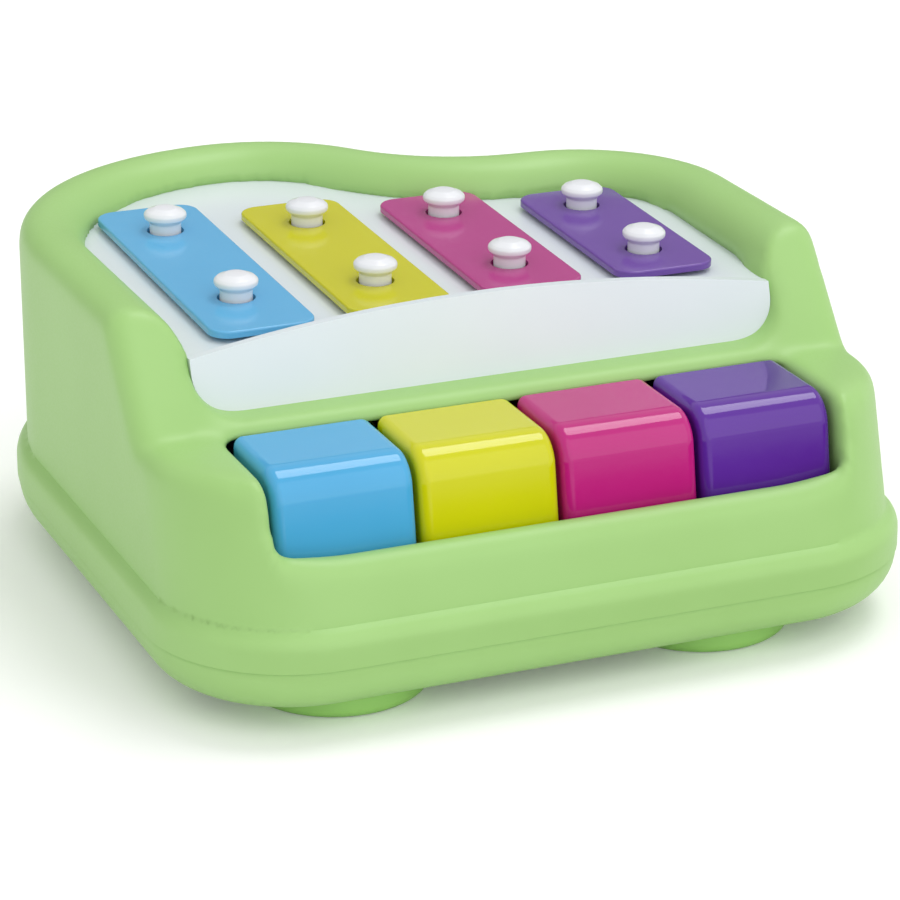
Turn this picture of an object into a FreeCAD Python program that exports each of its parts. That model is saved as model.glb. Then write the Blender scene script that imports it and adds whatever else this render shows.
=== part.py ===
import FreeCAD, Part
import math
import os

# Toy piano: a two-part housing with a grand-piano outline, a white deck panel,
# four keys that rock on one rod, and four tone bars held loosely on pegs.
# X runs along the keys, Y to the rear, Z up; the floor is Z = 0.
# A size that ends in back is measured rearwards from the front of the housing,
# one that ends in ahead forwards from its rear, and a height that ends in share
# is a share of the way from the top of the flange up to the top of the rim.

# Shared clearances
overrun = 5.0
fit_clearance = 0.05
running_clearance = 0.06
panel_clearance = 0.3
stop_clearance = 0.3
wall = 2.5

# Housing in plan
half_width = 106.6
half_depth = 111.75
front_corner_radius = 38.0
left_rear_radius = 78.0
right_rear_radius = 48.0
swoop_drop = 45.4
rim_width = 19.7
rim_wall = 8.0
cheek_width = 23.9
front_foot_out = 2.55
front_head_back = 11.15
shoulder_foot_back = 51.25
shoulder_head_back = 74.95

# Housing heights and edges
foot_height = 6.0
parting_z = 20.0
flange_top_z = 31.0
flange_out = 3.4
flange_round = 6.0
lower_out = 3.0
lower_round = 13.0
ledge_share = 0.2325
ledge_round = 7.0
rim_top_z = 97.7
rim_outer_round = 6.8
rim_inner_round = 12.6
shoulder_foot_round = 5.0
shoulder_head_round = 9.0
slot_skirt_share = 0.075

# Keys
key_colours = ["blue", "yellow", "pink", "purple"]
key_count = len(key_colours)
key_gap = 1.4
key_rear_back = 48.95
key_front_top_back = 17.25
key_front_low_back = 12.95
key_skirt_share = 0.165
key_top_share = 0.555
key_front_round = 10.0
key_rear_round = 1.2
key_side_round = 3.0
key_wall = 2.2
key_travel_deg = 6.8

# Rocking lever behind each key cap
pivot_back = 83.95
pivot_share = 0.285
rod_radius = 2.0
hub_radius = 6.5
lever_width = 24.0
lever_low_share = 0.195
lever_high_share = 0.375
tail_high_share = 0.315
post_depth = 12.0
post_top_share = 0.675

# Hammer tip on the tail post
tip_radius = 4.0
tip_round = 1.5
tip_pin_radius = 2.0
tip_pin_length = 6.0
tip_side_clearance = 1.0
strike_share = 0.56

# Tone bars, longest on the left, each ending short of the rim behind it
bar_front_backs = [73.2, 75.2, 77.5, 77.5]
bar_end_gaps = [4.0, 27.5, 0.8, 2.6]
bar_gap = 10.4
bar_thickness = 2.0
bar_corner_radius = 6.0
bar_edge_round = 0.6
bar_front_share = 0.235
bar_rear_share = 0.2
bar_hole_radius = 5.4
bar_rise = 1.4
bar_strike_gap = 0.4

# Pegs and cushions of the bars
peg_neck_radius = 4.6
peg_head_radius = 6.2
peg_under_head = 2.6
peg_head_flare = 1.5
peg_head_edge = 1.2
peg_head_dome = 2.0
peg_head_round = 0.7
peg_plug_radius = 2.6
peg_plug_length = 5.5
cushion_radius = 7.0
cushion_clearance = 0.4

# Deck panel and its fascia
deck_share = 0.8066
deck_tilt_deg = 1.5
panel_thickness = 2.5
panel_inset = 8.0
strip_share = 0.5877
fascia_foot_back = 60.95
fascia_head_back = 67.45
fascia_zone_back = 81.45
fascia_corner_radius = 11.0
lip_end_share = 0.809
lip_mid_share = 0.916

# Inner walls of the lower housing
rib_thickness = 5.0
post_wide = 14.0
post_over_rod = 6.0
felt_thickness = 2.0
felt_depth = 8.0
stop_back = 19.75

# Return springs
spring_back = 34.95
spring_seat_share = 0.315
spring_seat_radius = 8.0
spring_width = 10.0
spring_leg = 11.0
spring_bend_share = 0.36
spring_thickness = 0.6

# Feet
foot_radius = 26.0
foot_round = 3.0
foot_pin_radius = 4.0
foot_pin_length = 2.3
foot_front_left_inset = 48.1
foot_front_right_inset = 56.6
foot_front_back = 33.25
foot_left_rear_inset = 56.6
foot_left_rear_ahead = 51.75
foot_right_rear_inset = 48.6
foot_right_rear_ahead = 93.75

# Screws
boss_inset = 11.0
boss_radius = 4.8
screw_tube_radius = 6.0
screw_shank_radius = 1.4
screw_hole_clearance = 0.3
screw_head_radius = 3.0
screw_head_height = 2.2
screw_head_clearance = 0.5
screw_seat_z = 13.0
screw_length = 20.0
deck_screw_share = 0.7
front_boss_inset = 12.1
front_boss_back = 32.75
side_boss_back = 113.75
deck_boss_back = 95.75
left_rear_boss_deg = 120.0
right_rear_boss_deg = 45.0
deck_left_boss_deg = 155.0
deck_peak_boss_deg = 90.0
deck_right_boss_deg = 90.0

# Worked-out widths and places along X
slot_half = half_width - cheek_width
key_pitch = (2 * slot_half - key_gap) / key_count
key_width = key_pitch - key_gap
key_xs = [(i - (key_count - 1) / 2) * key_pitch for i in range(key_count)]
gap_xs = [(i - key_count / 2) * key_pitch for i in range(key_count + 1)]
bar_width = key_pitch - bar_gap
opening_half = half_width - rim_width
left_rear_x = left_rear_radius - half_width
right_rear_x = half_width - right_rear_radius

# Worked-out places along Y
front_foot_y = -half_depth - front_foot_out
front_head_y = -half_depth + front_head_back
key_front_low_y = -half_depth + key_front_low_back
key_front_top_y = -half_depth + key_front_top_back
key_rear_y = -half_depth + key_rear_back
slot_front_y = key_front_low_y - key_gap / 2
slot_rear_y = key_rear_y + key_gap / 2
shoulder_foot_y = -half_depth + shoulder_foot_back
shoulder_head_y = -half_depth + shoulder_head_back
fascia_foot_y = -half_depth + fascia_foot_back
fascia_head_y = -half_depth + fascia_head_back
fascia_zone_rear_y = -half_depth + fascia_zone_back
pivot_y = -half_depth + pivot_back
stop_y = -half_depth + stop_back
spring_y = -half_depth + spring_back
left_rear_y = half_depth - left_rear_radius
right_rear_y = half_depth - swoop_drop - right_rear_radius

# Worked-out heights
floor_z = foot_height + wall
upper_rise = rim_top_z - flange_top_z
slot_skirt_z = flange_top_z + slot_skirt_share * upper_rise
ledge_z = flange_top_z + ledge_share * upper_rise
key_skirt_z = flange_top_z + key_skirt_share * upper_rise
key_top_z = flange_top_z + key_top_share * upper_rise
pivot_z = flange_top_z + pivot_share * upper_rise
lever_low_z = flange_top_z + lever_low_share * upper_rise
lever_high_z = flange_top_z + lever_high_share * upper_rise
tail_high_z = flange_top_z + tail_high_share * upper_rise
post_top_z = flange_top_z + post_top_share * upper_rise
spring_seat_z = flange_top_z + spring_seat_share * upper_rise
strip_z = flange_top_z + strip_share * upper_rise
deck_z = flange_top_z + deck_share * upper_rise
fascia_lip_end_z = flange_top_z + lip_end_share * upper_rise
fascia_lip_mid_z = flange_top_z + lip_mid_share * upper_rise
bar_low_z = deck_z + bar_rise
bar_top_z = bar_low_z + bar_thickness
deck_screw_length = deck_screw_share * (rim_top_z - deck_z)
travel = math.radians(key_travel_deg)
reach = 2 * (half_width + half_depth)

os.makedirs("parts", exist_ok=True)


def at(x, y, z):
    return FreeCAD.Vector(x, y, z)


def turned(y, z):
    """Height and place of a point of a key when the key is fully down."""
    dy = y - pivot_y
    dz = z - pivot_z
    new_y = pivot_y + dy * math.cos(travel) - dz * math.sin(travel)
    new_z = pivot_z + dy * math.sin(travel) + dz * math.cos(travel)
    return new_y, new_z


def fascia_line(z):
    """Y of the leaning front of the fascia at a height."""
    lean = (fascia_head_y - fascia_foot_y) / (fascia_lip_mid_z - strip_z)
    return fascia_foot_y + lean * (z - strip_z)


def tilted(shape):
    """Shape drawn on a level deck, turned so that the deck rises to the rear."""
    shape.rotate(at(0, fascia_line(deck_z), deck_z), at(1, 0, 0), deck_tilt_deg)
    return shape


def save(shape, name):
    shape.exportStep("parts/" + name + ".step")


def block(x0, x1, y0, y1, z0, z1):
    return Part.makeBox(x1 - x0, y1 - y0, z1 - z0, at(x0, y0, z0))


def rod_z(x, y, z0, z1, radius):
    return Part.makeCylinder(radius, z1 - z0, at(x, y, z0))


def rod_x(x0, x1, y, z, radius):
    return Part.makeCylinder(radius, x1 - x0, at(x0, y, z), at(1, 0, 0))


def arc(centre, radius, start_deg, end_deg):
    """Arc in plan about a centre, from one bearing to another."""
    points = []
    for share in (0, 0.5, 1):
        bearing = math.radians(start_deg + share * (end_deg - start_deg))
        points.append(centre + at(radius * math.cos(bearing), radius * math.sin(bearing), 0))
    return Part.Arc(points[0], points[1], points[2]).toShape()


def chain_face(pieces):
    """Face inside arcs given in order, joined by straight edges where they do not meet."""
    edges = []
    count = len(pieces)
    for i in range(count):
        edges.append(pieces[i])
        end = pieces[i].valueAt(pieces[i].LastParameter)
        start = pieces[(i + 1) % count].valueAt(pieces[(i + 1) % count].FirstParameter)
        if end.distanceToPoint(start) > fit_clearance:
            edges.append(Part.makeLine(end, start))
    return Part.Face(Part.Wire(Part.__sortEdges__(edges)))


def plan_face(inset, z, front_y, corner_radius):
    """Grand-piano outline at a height, moved inwards by an inset."""
    run = right_rear_x - left_rear_x
    turn = 2 * math.atan(swoop_drop / run)
    turn_deg = math.degrees(turn)
    bend = run / (2 * math.sin(turn))
    corner_x = half_width - corner_radius
    corner_y = front_y + corner_radius
    corner = corner_radius - inset
    hollow = at(right_rear_x, half_depth - swoop_drop + bend, z)
    crown = at(left_rear_x, half_depth - bend, z)
    return chain_face([
        arc(at(-corner_x, corner_y, z), corner, 180, 270),
        arc(at(corner_x, corner_y, z), corner, 270, 360),
        arc(at(right_rear_x, right_rear_y, z), right_rear_radius - inset, 0, 90),
        arc(hollow, bend + inset, 270, 270 - turn_deg),
        arc(crown, bend - inset, 90 - turn_deg, 90),
        arc(at(left_rear_x, left_rear_y, z), left_rear_radius - inset, 90, 180),
    ])


def full_plan(inset, z0, z1):
    return plan_face(inset, z0, -half_depth, front_corner_radius).extrude(at(0, 0, z1 - z0))


def rounded_face(corners):
    """Face inside corner points, each rounded by its own radius."""
    pieces = []
    count = len(corners)
    edges = []
    ends = []
    for i in range(count):
        corner, radius = corners[i]
        back = (corners[i - 1][0] - corner).normalize()
        ahead = (corners[(i + 1) % count][0] - corner).normalize()
        half_angle = back.getAngle(ahead) / 2
        tangent = radius / math.tan(half_angle)
        start = corner + back * tangent
        end = corner + ahead * tangent
        ends.append((start, end))
        if radius > 0:
            inward = (back + ahead).normalize()
            middle = corner + inward * (radius / math.sin(half_angle) - radius)
            pieces.append(Part.Arc(start, middle, end).toShape())
    for i in range(count):
        start = ends[i][1]
        end = ends[(i + 1) % count][0]
        edges.append(Part.makeLine(start, end))
    return Part.Face(Part.Wire(Part.__sortEdges__(edges + pieces)))


def side_prism(corners, x0, x1):
    """Solid with a side view of (y, z, corner radius), between two X planes."""
    face = rounded_face([(at(x0, y, z), radius) for y, z, radius in corners])
    return face.extrude(at(x1 - x0, 0, 0))


def top_edges(shape, z):
    return [e for e in shape.Edges if abs(e.BoundBox.ZMin - z) + abs(e.BoundBox.ZMax - z) < fit_clearance]


def shoulder_air(inset):
    """Air above the rim, shoulders and cheeks, grown downwards by an inset."""
    slope = math.atan2(rim_top_z - key_top_z, shoulder_head_y - shoulder_foot_y)
    shift = inset * math.tan(slope / 2)
    foot_y = shoulder_foot_y + shift
    head_y = shoulder_head_y + shift
    low_z = key_top_z - inset
    high_z = rim_top_z - inset
    return side_prism([
        (-reach, low_z, 0),
        (foot_y, low_z, shoulder_foot_round + inset),
        (head_y, high_z, shoulder_head_round - inset),
        (reach, high_z, 0),
        (reach, reach, 0),
        (-reach, reach, 0),
    ], -reach, reach)


def front_line(z):
    """Y of the leaning front wall of the upper housing at a height."""
    lean = (front_head_y - front_foot_y) / (key_top_z - parting_z)
    return front_foot_y + lean * (z - parting_z)


def housing_form(inset, low_z):
    """Outer form of the upper housing without its flange, moved inwards by an inset."""
    levels = [low_z, rim_top_z + overrun]
    outlines = [plan_face(inset, z, front_line(z), front_corner_radius).OuterWire for z in levels]
    form = Part.makeLoft(outlines, True, True).cut(shoulder_air(inset))
    rim_edges = []
    for edge in form.Edges:
        box = edge.BoundBox
        across = box.XLength > half_width and box.YMin > key_rear_y - overrun
        if box.ZMin > key_top_z - inset - fit_clearance and not across:
            rim_edges.append(edge)
    return form.makeFillet(rim_outer_round - inset, rim_edges)


def key_notch(grown):
    """Air in front of the keys, above the front ledge, grown by a wall."""
    half = slot_half + grown
    return block(-half, half, -reach, slot_rear_y, ledge_z - grown, rim_top_z)


def fascia_hole(grown, y0, y1):
    """Front opening for the fascia, with rounded lower corners, grown by a wall."""
    half = opening_half + grown
    low_z = strip_z - grown
    radius = fascia_corner_radius + grown
    face = rounded_face([
        (at(-half, y0, low_z), radius),
        (at(half, y0, low_z), radius),
        (at(half, y0, reach), 0),
        (at(-half, y0, reach), 0),
    ])
    return face.extrude(at(0, y1 - y0, 0))


def rim_point(rear_x, rear_y, radius, bearing_deg):
    bearing = math.radians(bearing_deg)
    arm = radius - boss_inset
    return rear_x + arm * math.cos(bearing), rear_y + arm * math.sin(bearing)


# Screw places: under the cheeks, along the sides and round the rear of the rim
side_boss_x = half_width - boss_inset
side_boss_y = -half_depth + side_boss_back
deck_boss_y = -half_depth + deck_boss_back
front_boss_x = half_width - front_boss_inset
front_boss_y = -half_depth + front_boss_back
housing_screw_places = [
    (-front_boss_x, front_boss_y),
    (front_boss_x, front_boss_y),
    (-side_boss_x, side_boss_y),
    (side_boss_x, side_boss_y),
    rim_point(left_rear_x, left_rear_y, left_rear_radius, left_rear_boss_deg),
    rim_point(right_rear_x, right_rear_y, right_rear_radius, right_rear_boss_deg),
]
deck_screw_places = [
    (-side_boss_x, deck_boss_y),
    (side_boss_x, deck_boss_y),
    rim_point(left_rear_x, left_rear_y, left_rear_radius, deck_left_boss_deg),
    rim_point(left_rear_x, left_rear_y, left_rear_radius, deck_peak_boss_deg),
    rim_point(right_rear_x, right_rear_y, right_rear_radius, deck_right_boss_deg),
]


def rim_rounding():
    """Ring of air that rounds the inner edge of the rim at the height of the rim."""
    low_z = rim_top_z - rim_inner_round - overrun
    ring = full_plan(0, low_z, rim_top_z).cut(full_plan(rim_width, low_z, rim_top_z))
    outline = plan_face(rim_width, rim_top_z, -half_depth, front_corner_radius).OuterWire
    inner_edges = []
    for edge in top_edges(ring, rim_top_z):
        middle = edge.valueAt((edge.FirstParameter + edge.LastParameter) / 2)
        if outline.distToShape(Part.Vertex(middle))[0] < fit_clearance:
            inner_edges.append(edge)
    return ring.cut(ring.makeFillet(rim_inner_round, inner_edges))


def upper_housing():
    form = housing_form(0, parting_z)
    flange = full_plan(-flange_out, parting_z, flange_top_z)
    flange = flange.makeFillet(flange_round, top_edges(flange, flange_top_z))
    form = form.cut(key_notch(0))
    ledge_edges = [edge for edge in top_edges(form, ledge_z) if edge.BoundBox.YMax < slot_front_y]
    form = form.makeFillet(ledge_round, ledge_edges)
    form = form.fuse(flange)
    well = full_plan(rim_width, deck_z - overrun, reach)
    well = well.common(block(-reach, reach, fascia_line(deck_z), reach, deck_z - overrun, reach))
    pocket = well.fuse(fascia_hole(0, key_rear_y, fascia_zone_rear_y))
    form = form.cut(pocket).cut(rim_rounding())
    cavity = housing_form(wall, parting_z - overrun)
    cavity = cavity.cut(tilted(full_plan(rim_width - rim_wall, deck_z, reach)))
    cavity = cavity.cut(fascia_hole(wall, key_rear_y - wall, fascia_zone_rear_y))
    skirt = block(-slot_half - wall, slot_half + wall, slot_front_y - wall, slot_rear_y, slot_skirt_z, key_top_z)
    cavity = cavity.cut(skirt).cut(key_notch(wall))
    for x, y in housing_screw_places:
        cavity = cavity.cut(rod_z(x, y, parting_z, rim_top_z, boss_radius))
    for x, y in deck_screw_places:
        cavity = cavity.cut(tilted(rod_z(x, y, deck_z, rim_top_z, boss_radius)))
    shell = form.cut(cavity)
    shell = shell.cut(block(-slot_half, slot_half, slot_front_y, slot_rear_y, slot_skirt_z - overrun, rim_top_z))
    thread_radius = screw_shank_radius + fit_clearance
    for x, y in housing_screw_places:
        shell = shell.cut(rod_z(x, y, parting_z - overrun, screw_seat_z + screw_length + fit_clearance, thread_radius))
    for x, y in deck_screw_places:
        top = deck_z - panel_thickness + deck_screw_length + fit_clearance
        shell = shell.cut(tilted(rod_z(x, y, deck_z - overrun, top, thread_radius)))
    return shell


def lower_housing():
    tray = full_plan(-lower_out, foot_height, parting_z)
    tray = tray.makeFillet(lower_round, top_edges(tray, foot_height))
    hollow = full_plan(wall - lower_out, floor_z, parting_z + overrun)
    tray = tray.cut(hollow.makeFillet(lower_round - wall, top_edges(hollow, floor_z)))
    inner_low = foot_height + wall / 2
    for x in gap_xs:
        tray = tray.fuse(block(
            x - rib_thickness / 2, x + rib_thickness / 2,
            pivot_y - post_wide / 2, pivot_y + post_wide / 2,
            inner_low, pivot_z + post_over_rod,
        ))
    for y, top in ((tail_y, rest_wall_z), (stop_y, stop_wall_z)):
        tray = tray.fuse(block(
            -slot_half, slot_half, y - rib_thickness / 2, y + rib_thickness / 2, inner_low, top,
        ))
    for x in key_xs:
        tray = tray.fuse(rod_z(x, spring_y, inner_low, spring_seat_z, spring_seat_radius))
    for x, y in housing_screw_places:
        tray = tray.fuse(rod_z(x, y, inner_low, parting_z, screw_tube_radius))
    for x, y in housing_screw_places:
        head_hole = screw_head_radius + screw_head_clearance
        tray = tray.cut(rod_z(x, y, foot_height - overrun, screw_seat_z, head_hole))
        tray = tray.cut(rod_z(x, y, foot_height, parting_z + overrun, screw_shank_radius + screw_hole_clearance))
    for x, y in foot_places:
        tray = tray.cut(rod_z(x, y, foot_height - overrun, floor_z, foot_pin_radius + fit_clearance))
    tray = tray.cut(rod_x(-reach, reach, pivot_y, pivot_z, rod_radius))
    return tray.removeSplitter()


def deck_plate():
    """Level plate of the deck with its holes, before it is tilted."""
    low_z = deck_z - panel_thickness
    high_z = deck_z + overrun
    half = opening_half - panel_clearance
    rear_y = fascia_zone_rear_y + panel_clearance
    plate = full_plan(panel_inset, low_z, deck_z)
    plate = plate.common(block(-reach, reach, rear_y, reach, low_z, deck_z))
    plate = plate.fuse(block(-half, half, fascia_line(deck_z), rear_y + overrun, low_z, deck_z))
    for x, y in deck_screw_places:
        plate = plate.cut(rod_z(x, y, low_z - overrun, high_z, screw_shank_radius + screw_hole_clearance))
    for x, y in housing_screw_places:
        plate = plate.cut(rod_z(x, y, low_z - overrun, high_z, boss_radius + panel_clearance))
    for x, y in peg_places:
        plate = plate.cut(rod_z(x, y, low_z - overrun, high_z, peg_plug_radius + fit_clearance))
    return plate


def fascia():
    """Leaning front of the panel, with rounded lower corners and an arched lip."""
    half = opening_half - panel_clearance
    radius = fascia_corner_radius - panel_clearance
    front_y = key_rear_y
    lip_ends = [at(side * half, front_y, fascia_lip_end_z) for side in (1, -1)]
    lip_arc = Part.Arc(lip_ends[0], at(0, front_y, fascia_lip_mid_z), lip_ends[1]).toShape()
    corner_share = math.sqrt(0.5)
    left = at(-half + radius, front_y, strip_z + radius)
    right = at(half - radius, front_y, strip_z + radius)
    down = at(0, 0, -radius)
    out = at(radius, 0, 0)
    left_arc = Part.Arc(left - out, left + (down - out) * corner_share, left + down).toShape()
    right_arc = Part.Arc(right + down, right + (down + out) * corner_share, right + out).toShape()
    view = chain_face([left_arc, right_arc, lip_arc]).extrude(at(0, fascia_zone_rear_y - front_y, 0))
    slab = side_prism([
        (fascia_line(strip_z), strip_z, 0),
        (fascia_line(strip_z) + panel_thickness, strip_z, 0),
        (fascia_line(rim_top_z) + panel_thickness, rim_top_z, 0),
        (fascia_line(rim_top_z), rim_top_z, 0),
    ], -half, half)
    return view.common(slab)


def deck_panel():
    panel = tilted(deck_plate()).fuse(fascia())
    room = tip_radius + tip_side_clearance
    down_y = turned(tail_y, tip_top_z)[0]
    for x in key_xs:
        panel = panel.cut(block(x - room, x + room, down_y - room, tail_y + room, strip_z, rim_top_z))
    return panel.removeSplitter()


def key(x):
    half = key_width / 2
    cap = side_prism([
        (key_rear_y, key_skirt_z, 0),
        (key_front_low_y, key_skirt_z, 0),
        (key_front_top_y, key_top_z, key_front_round),
        (key_rear_y, key_top_z, key_rear_round),
    ], x - half, x + half)
    edges = []
    for edge in cap.Edges:
        box = edge.BoundBox
        on_side = box.XLength < fit_clearance
        low = box.ZMax < key_skirt_z + fit_clearance
        rear = box.YMin > key_rear_y - key_rear_round - fit_clearance
        if on_side and not low and not rear:
            edges.append(edge)
    cap = cap.makeFillet(key_side_round, edges)
    hollow = side_prism([
        (key_rear_y - key_wall, key_skirt_z - overrun, 0),
        (key_front_low_y + key_wall, key_skirt_z - overrun, 0),
        (key_front_top_y + key_wall, key_top_z - key_wall, key_front_round - key_wall),
        (key_rear_y - key_wall, key_top_z - key_wall, 0),
    ], x - half + key_wall, x + half - key_wall)
    cap = cap.cut(hollow)
    lever = side_prism([
        (key_rear_y - key_wall / 2, lever_low_z, 0),
        (tail_end_y, lever_low_z, 0),
        (tail_end_y, post_top_z, 0),
        (tail_end_y - post_depth, post_top_z, 0),
        (tail_end_y - post_depth, tail_high_z, 0),
        (pivot_y, lever_high_z, 0),
        (key_rear_y - key_wall / 2, lever_high_z, 0),
    ], x - lever_width / 2, x + lever_width / 2)
    hub = rod_x(x - lever_width / 2, x + lever_width / 2, pivot_y, pivot_z, hub_radius)
    body = cap.fuse(lever).fuse(hub)
    body = body.cut(rod_x(x - half, x + half, pivot_y, pivot_z, rod_radius + running_clearance))
    pin_low = post_top_z - tip_pin_length - fit_clearance
    body = body.cut(rod_z(x, tail_y, pin_low, post_top_z + overrun, tip_pin_radius + fit_clearance))
    return body.removeSplitter()


def hammer_tip(x):
    head = rod_z(x, tail_y, post_top_z, tip_top_z, tip_radius)
    head = head.makeFillet(tip_round, top_edges(head, tip_top_z))
    return head.fuse(rod_z(x, tail_y, post_top_z - tip_pin_length, post_top_z, tip_pin_radius))


def return_spring(x):
    """Folded leaf spring between its seat and the roof of the key cap."""
    low_z = spring_seat_z
    high_z = key_top_z - key_wall
    front_y = spring_y - spring_leg / 2
    rear_y = spring_y + spring_leg / 2
    spring_bend = spring_bend_share * (high_z - low_z)
    inner_bend = spring_bend - spring_thickness
    return side_prism([
        (front_y, low_z, 0),
        (rear_y, low_z, spring_bend),
        (rear_y, high_z, spring_bend),
        (front_y, high_z, 0),
        (front_y, high_z - spring_thickness, 0),
        (rear_y - spring_thickness, high_z - spring_thickness, inner_bend),
        (rear_y - spring_thickness, low_z + spring_thickness, inner_bend),
        (front_y, low_z + spring_thickness, 0),
    ], x - spring_width / 2, x + spring_width / 2)


def well_rear_y(x):
    """Y of the rear end of the deck opening at one X, on a level deck."""
    outline = plan_face(rim_width, 0, -half_depth, front_corner_radius)
    return outline.common(Part.makeLine(at(x, 0, 0), at(x, reach, 0))).BoundBox.YMax


def bar_place(i):
    """Centre X, front and rear Y, and the Y of both pegs of one tone bar."""
    end_half = bar_width / 2 - bar_corner_radius
    front_y = -half_depth + bar_front_backs[i]
    rear_y = min(well_rear_y(key_xs[i] - end_half), well_rear_y(key_xs[i] + end_half)) - bar_end_gaps[i]
    peg_front_y = front_y + bar_front_share * (rear_y - front_y)
    peg_rear_y = rear_y - bar_rear_share * (rear_y - front_y)
    return key_xs[i], front_y, rear_y, peg_front_y, peg_rear_y


def tone_bar(i):
    x, front_y, rear_y, peg_front_y, peg_rear_y = bar_places[i]
    half = bar_width / 2
    plate = rounded_face([
        (at(x - half, front_y, bar_low_z), bar_corner_radius),
        (at(x + half, front_y, bar_low_z), bar_corner_radius),
        (at(x + half, rear_y, bar_low_z), bar_corner_radius),
        (at(x - half, rear_y, bar_low_z), bar_corner_radius),
    ]).extrude(at(0, 0, bar_thickness))
    plate = plate.makeFillet(bar_edge_round, top_edges(plate, bar_top_z))
    for y in (peg_front_y, peg_rear_y):
        plate = plate.cut(rod_z(x, y, bar_low_z - overrun, bar_top_z + overrun, bar_hole_radius))
    return plate


def peg(x, y):
    """Mushroom peg: plug below the deck, neck through the bar and a thick domed head."""
    head_low = bar_top_z + peg_under_head
    head_wide = head_low + peg_head_flare
    head_high = head_wide + peg_head_edge
    head_top = head_high + peg_head_dome
    dome_radius = (peg_head_radius ** 2 + peg_head_dome ** 2) / (2 * peg_head_dome)
    bearing = math.asin(peg_head_radius / dome_radius) / 2
    dome_drop = dome_radius * (1 - math.cos(bearing))
    dome_middle = at(dome_radius * math.sin(bearing), 0, head_top - dome_drop)
    outline = [
        at(0, 0, deck_z - peg_plug_length),
        at(peg_plug_radius, 0, deck_z - peg_plug_length),
        at(peg_plug_radius, 0, deck_z),
        at(peg_neck_radius, 0, deck_z),
        at(peg_neck_radius, 0, head_low),
        at(peg_head_radius, 0, head_wide),
        at(peg_head_radius, 0, head_high),
    ]
    edges = [Part.makeLine(outline[i], outline[i + 1]) for i in range(len(outline) - 1)]
    edges.append(Part.Arc(outline[-1], dome_middle, at(0, 0, head_top)).toShape())
    edges.append(Part.makeLine(at(0, 0, head_top), outline[0]))
    half_view = Part.Face(Part.Wire(edges))
    turned_peg = half_view.revolve(at(0, 0, 0), at(0, 0, 1), 360)
    brim = top_edges(turned_peg, head_wide) + top_edges(turned_peg, head_high)
    turned_peg = turned_peg.makeFillet(peg_head_round, brim)
    turned_peg.translate(at(x, y, 0))
    return turned_peg


def cushion(x, y):
    ring = rod_z(x, y, deck_z, bar_low_z, cushion_radius)
    return ring.cut(rod_z(x, y, deck_z - overrun, bar_low_z + overrun, peg_neck_radius + cushion_clearance))


def foot(x, y):
    disc = rod_z(x, y, 0, foot_height, foot_radius)
    disc = disc.makeFillet(foot_round, top_edges(disc, 0))
    return disc.fuse(rod_z(x, y, foot_height, foot_height + foot_pin_length, foot_pin_radius))


def screw(x, y, seat_z, length):
    head = rod_z(x, y, seat_z - screw_head_height, seat_z, screw_head_radius)
    return head.fuse(rod_z(x, y, seat_z, seat_z + length, screw_shank_radius))


# Places and levels that tie several pieces together
bar_places = [bar_place(i) for i in range(key_count)]
peg_places = []
for x, front_y, rear_y, peg_front_y, peg_rear_y in bar_places:
    peg_places.append((x, peg_front_y))
    peg_places.append((x, peg_rear_y))
shortest_front_y = bar_places[-1][1]
shortest_rear_y = bar_places[-1][2]
tail_y = shortest_front_y + strike_share * (shortest_rear_y - shortest_front_y)
tail_end_y = tail_y + post_depth / 2
tail_rise = turned(tail_y, post_top_z)[1] - post_top_z
bar_strike_z = bar_low_z + (tail_y - fascia_line(deck_z)) * math.tan(math.radians(deck_tilt_deg))
tip_top_z = bar_strike_z - bar_strike_gap - tail_rise
rest_wall_z = lever_low_z - stop_clearance - felt_thickness
stop_wall_z = turned(stop_y - felt_depth / 2, key_skirt_z)[1] - stop_clearance - felt_thickness
foot_front_y = -half_depth + foot_front_back
foot_places = [
    (foot_front_left_inset - half_width, foot_front_y),
    (half_width - foot_front_right_inset, foot_front_y),
    (foot_left_rear_inset - half_width, half_depth - foot_left_rear_ahead),
    (half_width - foot_right_rear_inset, half_depth - foot_right_rear_ahead),
]
foot_names = ["foot_front_left", "foot_front_right", "foot_rear_left", "foot_rear_right"]

# Housing and panel
save(upper_housing(), "upper_housing")
save(lower_housing(), "lower_housing")
save(deck_panel(), "deck_panel")

# Keys, their tips and springs
for i in range(key_count):
    colour = key_colours[i]
    save(key(key_xs[i]), "key_" + colour)
    save(hammer_tip(key_xs[i]), "hammer_tip_" + colour)
    save(return_spring(key_xs[i]), "return_spring_" + colour)
    save(tilted(tone_bar(i)), "tone_bar_" + colour)

# Rod and felt strips
save(rod_x(gap_xs[0] - rib_thickness / 2, gap_xs[-1] + rib_thickness / 2, pivot_y, pivot_z, rod_radius), "pivot_rod")
for name, y, low_z in (("tail_rest_felt", tail_y, rest_wall_z), ("key_stop_felt", stop_y, stop_wall_z)):
    save(block(-slot_half, slot_half, y - felt_depth / 2, y + felt_depth / 2, low_z, low_z + felt_thickness), name)

# Pegs, cushions, feet and screws
save(Part.makeCompound([tilted(peg(x, y)) for x, y in peg_places]), "bar_pegs")
save(Part.makeCompound([tilted(cushion(x, y)) for x, y in peg_places]), "bar_cushions")
for i in range(len(foot_places)):
    save(foot(foot_places[i][0], foot_places[i][1]), foot_names[i])
save(Part.makeCompound([screw(x, y, screw_seat_z, screw_length) for x, y in housing_screw_places]), "housing_screws")
deck_seat_z = deck_z - panel_thickness
deck_screws = [tilted(screw(x, y, deck_seat_z, deck_screw_length)) for x, y in deck_screw_places]
save(Part.makeCompound(deck_screws), "deck_screws")
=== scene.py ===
import math

import bmesh
import bpy
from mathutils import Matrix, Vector
from mathutils.bvhtree import BVHTree
from mathutils.kdtree import KDTree


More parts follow.
